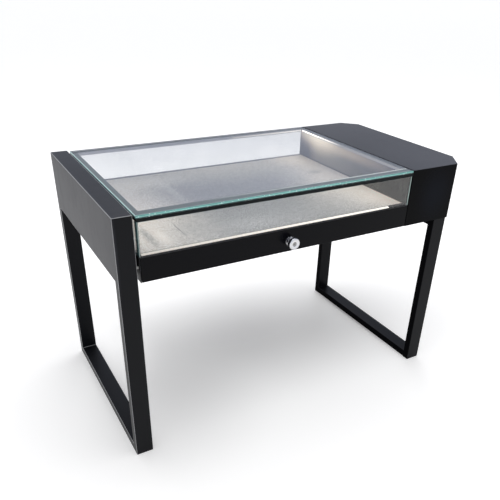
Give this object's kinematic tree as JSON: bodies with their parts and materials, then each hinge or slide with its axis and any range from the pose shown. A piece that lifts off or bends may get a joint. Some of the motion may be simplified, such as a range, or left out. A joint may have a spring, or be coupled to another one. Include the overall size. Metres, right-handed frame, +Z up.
{
  "type": "jewellery showcase",
  "caption": "Table-height display case with glass top and sides, a pull-out display tray with a knob lock, and a closed cabinet on two leg frames.",
  "frame": {"origin": "on the floor at the middle of the bounding box", "axes": "+X to the right towards the cabinet, +Y from the front with the knob to the rear, +Z up"},
  "size_m": [1.2, 0.665, 0.764],
  "materials": {
    "satin_black": "satin black powder coat",
    "gloss_black": "black baked lacquer, semi-gloss",
    "dark_plate": "matt dark grey coat",
    "black_plastic": "moulded black nylon",
    "zinc_fasteners": "bright zinc plate",
    "driver_case": "bare aluminium case",
    "white_plastic": "moulded off-white nylon",
    "satin_champagne": "satin champagne-tinted brushed sheet",
    "rail_aluminium": "satin anodised",
    "clear_glass": "clear tempered glass with ground edges",
    "warm_light": "opal lens over a warm white strip",
    "slide_steel": "zinc-plated rolled steel",
    "tray_steel": "bare folded steel",
    "knob_chrome": "polished chrome plate",
    "key_plug_metal": "polished nickel plate"
  },
  "bodies": {
    "stand": {"left_front_leg": "satin_black", "left_rear_leg": "satin_black", "left_side_beam": "satin_black", "left_foot_bar": "satin_black", "right_front_leg": "satin_black", "right_rear_leg": "satin_black", "right_foot_bar": "satin_black", "right_top_bar": "satin_black", "case_left_rail": "satin_black", "case_rear_rail": "satin_black", "case_floor": "satin_black", "top_front_rail": "satin_black", "top_rear_rail": "satin_black", "top_left_rail": "satin_black", "cabinet_top": "gloss_black", "cabinet_wrap": "gloss_black", "cabinet_inner_wall": "gloss_black", "cabinet_floor": "dark_plate", "service_cover": "dark_plate", "leg_glides": "black_plastic", "power_inlet": "black_plastic", "cover_screws": "zinc_fasteners", "leg_frame_bolts": "zinc_fasteners", "case_bolts": "zinc_fasteners", "frame_sleeves": "zinc_fasteners", "rail_studs": "zinc_fasteners", "lock_strike": "zinc_fasteners", "led_driver": "driver_case", "terminal_block": "white_plastic", "gap_bumpers": "white_plastic", "right_liner": "satin_champagne", "top_right_rail": "rail_aluminium", "side_light_profile": "rail_aluminium", "rear_light_profile": "rail_aluminium", "glass_top": "clear_glass", "left_pane": "clear_glass", "rear_pane": "clear_glass", "side_light_lens": "warm_light", "rear_light_lens": "warm_light", "left_slide_outer": "slide_steel", "right_slide_outer": "slide_steel"},
    "tray": {"tray_front": "gloss_black", "tray_front_member": "tray_steel", "tray_left_side": "tray_steel", "tray_right_side": "tray_steel", "tray_rear_member": "tray_steel", "deck_cross_bars": "tray_steel", "display_deck": "satin_champagne", "pane_channel": "dark_plate", "front_pane": "clear_glass", "foot_light_profile": "rail_aluminium", "foot_light_lens": "warm_light", "knob_body": "knob_chrome", "lock_nut": "zinc_fasteners", "left_slide_inner": "slide_steel", "right_slide_inner": "slide_steel"},
    "lock": {"lock_plug": "key_plug_metal", "lock_cam": "zinc_fasteners"},
    "left_slide_mid": {"left_slide_middle": "slide_steel"},
    "right_slide_mid": {"right_slide_middle": "slide_steel"}
  },
  "joints": [
    {"name": "tray_slide", "type": "slide", "parent": "stand", "child": "tray", "axis": [0, -1, 0], "range_m": [0, 0.48]},
    {"name": "left_mid_slide", "type": "slide", "parent": "stand", "child": "left_slide_mid", "axis": [0, -1, 0], "range_m": [0, 0.24]},
    {"name": "right_mid_slide", "type": "slide", "parent": "stand", "child": "right_slide_mid", "axis": [0, -1, 0], "range_m": [0, 0.24]},
    {"name": "lock_turn", "type": "hinge", "parent": "tray", "child": "lock", "pos_m": [-0.091, -0.3025, 0.6115], "axis": [0, 1, 0], "range_deg": [0, 90]}
  ],
  "couplings": [
    {"joint": "left_mid_slide", "follows": "tray_slide", "ratio": 0.5},
    {"joint": "right_mid_slide", "follows": "tray_slide", "ratio": 0.5}
  ]
}
